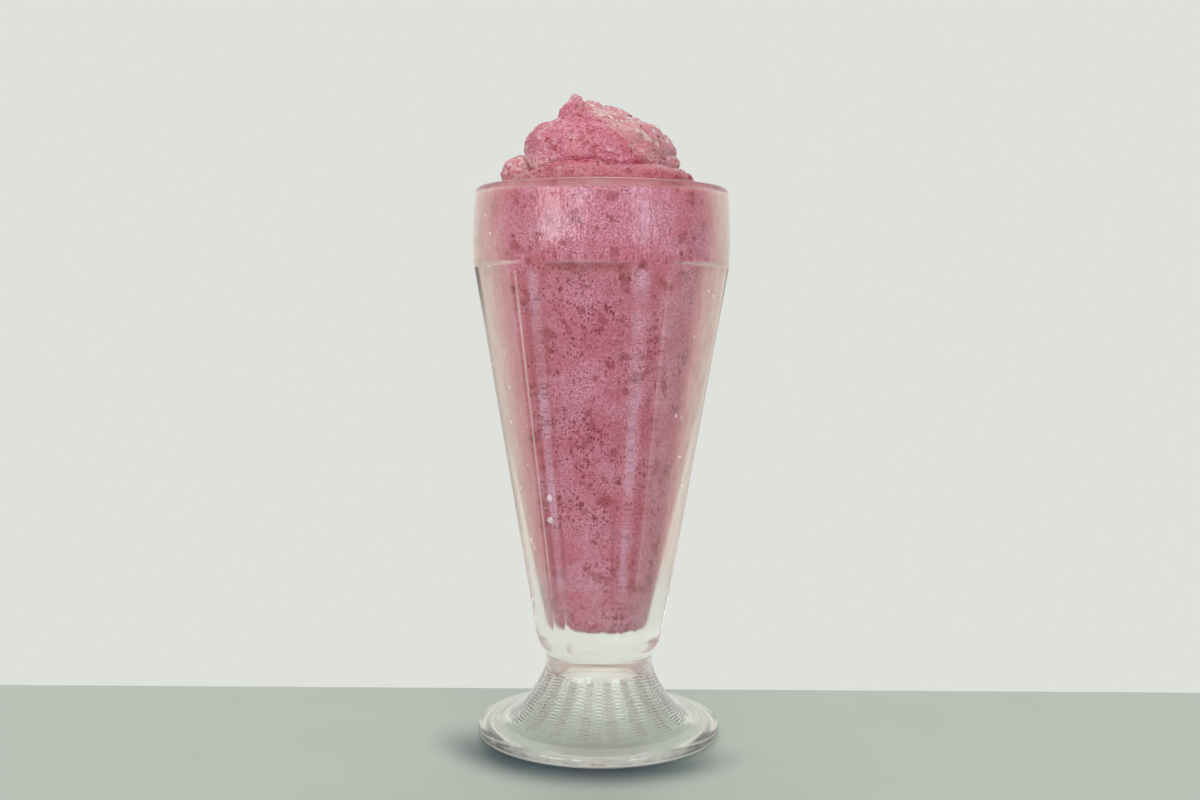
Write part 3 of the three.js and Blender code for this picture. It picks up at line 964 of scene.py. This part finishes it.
# %% World
BRIGHT = colour(223, 225, 220)
DIM = colour(205, 207, 204)
DARK = colour(80, 82, 84)
world = bpy.data.worlds.new("studio")
bpy.context.scene.world = world
world.use_nodes = True
sideways = abs(Wire(world.node_tree).node("ShaderNodeTexCoord", {}, {}, "Generated").part(0))
studio = sideways.between(0.95, 0.985).mix(sideways.between(0.6, 0.9).mix(BRIGHT, DIM), DARK)
world.node_tree.links.new(studio.socket, world.node_tree.nodes["Background"].inputs["Color"])
print("world from", [round(v, 2) for v in BRIGHT[:3]], "to", [round(v, 2) for v in DARK[:3]])

# %% Lamps
LAMP_AWAY = 1.2
LAMP_AIM = Vector((0, 0, 0.17))


def soft_lamp(name, azimuth, elevation, width, tall, glow, tint=(1, 1, 1)):
    """A lamp that faces the glass, with its width and how tall it is in degrees as seen from there.

    Azimuth 0 is the viewer's side and more is to the right. The glow is the brightness of its face,
    where 1 is white paper."""
    data = bpy.data.lights.new(name, "AREA")
    data.shape = "RECTANGLE"
    data.size = 2 * LAMP_AWAY * math.tan(math.radians(width / 2))
    data.size_y = 2 * LAMP_AWAY * math.tan(math.radians(tall / 2))
    data.energy = glow * math.pi * data.size * data.size_y
    data.color = tint
    lamp = bpy.data.objects.new(name, data)
    bpy.context.scene.collection.objects.link(lamp)
    a = math.radians(azimuth)
    e = math.radians(elevation)
    way = Vector((math.cos(e) * math.sin(a), -math.cos(e) * math.cos(a), math.sin(e)))
    lamp.location = LAMP_AIM + way * LAMP_AWAY
    lamp.rotation_euler = way.to_track_quat("Z", "Y").to_euler()


soft_lamp("left", -43.5, 8, 23, 15, 5.0, (0.93, 0.95, 1.0))
soft_lamp("strip", -19.5, 8, 7, 15, 6.5, (0.86, 0.88, 1.0))
soft_lamp("right", 36, 8, 16, 15, 5.0, (0.74, 0.8, 1.0))
soft_lamp("key", 8, 38, 80, 34, 1.35)
soft_lamp("behind", 180, 65, 30, 30, 2.0)

# %% [markdown]
# ## Camera
# The photograph was taken from a little below the rim, close to the glass, so the band is seen from
# just underneath and the foot from above. The picture is 1200 by 800, and the camera leans by less than
# half a degree. It could be set by eye, but here it was fitted to the outline of the rim and the foot.

# %% Camera
CAMERA_RIGHT, CAMERA_AWAY, CAMERA_HIGH = -0.17, 451, 143.8
SENSOR_WIDTH = 36
FOCAL_PIXELS, PICTURE_WIDTH = 1322, 1200
PITCH_DOWN, LEAN = 3.68, 0.37
camera_data = bpy.data.cameras.new("camera")
camera_data.sensor_width = SENSOR_WIDTH
camera_data.lens = SENSOR_WIDTH * FOCAL_PIXELS / PICTURE_WIDTH
camera = bpy.data.objects.new("camera", camera_data)
bpy.context.scene.collection.objects.link(camera)
camera.location = (CAMERA_RIGHT * MM, -CAMERA_AWAY * MM, CAMERA_HIGH * MM)
pitch = Matrix.Rotation(math.radians(90 - PITCH_DOWN), 4, "X")
lean = Matrix.Rotation(math.radians(LEAN), 4, "Z")
camera.rotation_euler = (pitch @ lean).to_euler()
bpy.context.scene.camera = camera
bpy.context.scene.view_settings.view_transform = "Standard"
print("camera lens", round(camera_data.lens, 2))
